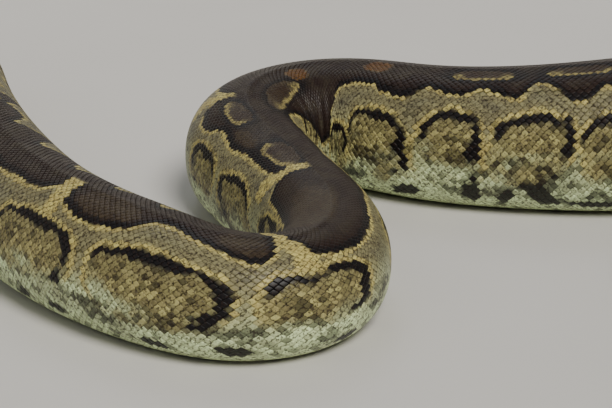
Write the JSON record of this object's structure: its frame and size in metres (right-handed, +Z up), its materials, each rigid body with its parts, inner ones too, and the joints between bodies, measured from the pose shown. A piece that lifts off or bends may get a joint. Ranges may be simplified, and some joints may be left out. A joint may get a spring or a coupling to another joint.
{
  "type": "coiled rock python figure",
  "caption": "Life-size still model of an African rock python lying in loose coils flat on the floor, patterned scales, head down, tail curled in.",
  "frame": {"origin": "on the floor under the middle of the whole coil's plan: the centre of its box in X and Y, and the belly's level in Z", "axes": "+Z up; +X from the head's side of the pose to the rear coil's side, along the longest extent; +Y away from the side that the head faces"},
  "size_m": [1.3356, 0.7404, 0.1305],
  "materials": {
    "head_skin": "satin scales",
    "body_skin": "satin scales",
    "eye": "wet gloss",
    "spur_horn": "polished horn"
  },
  "bodies": {
    "root": {"head": "head_skin", "neck": "body_skin", "trunk_01": "body_skin", "trunk_02": "body_skin", "trunk_03": "body_skin", "trunk_04": "body_skin", "trunk_05": "body_skin", "trunk_06": "body_skin", "trunk_07": "body_skin", "trunk_08": "body_skin", "trunk_09": "body_skin", "trunk_10": "body_skin", "trunk_11": "body_skin", "tail_base": "body_skin", "tail_tip": "body_skin", "eye_left": "eye", "eye_right": "eye", "spur_left": "spur_horn", "spur_right": "spur_horn"}
  },
  "joints": []
}
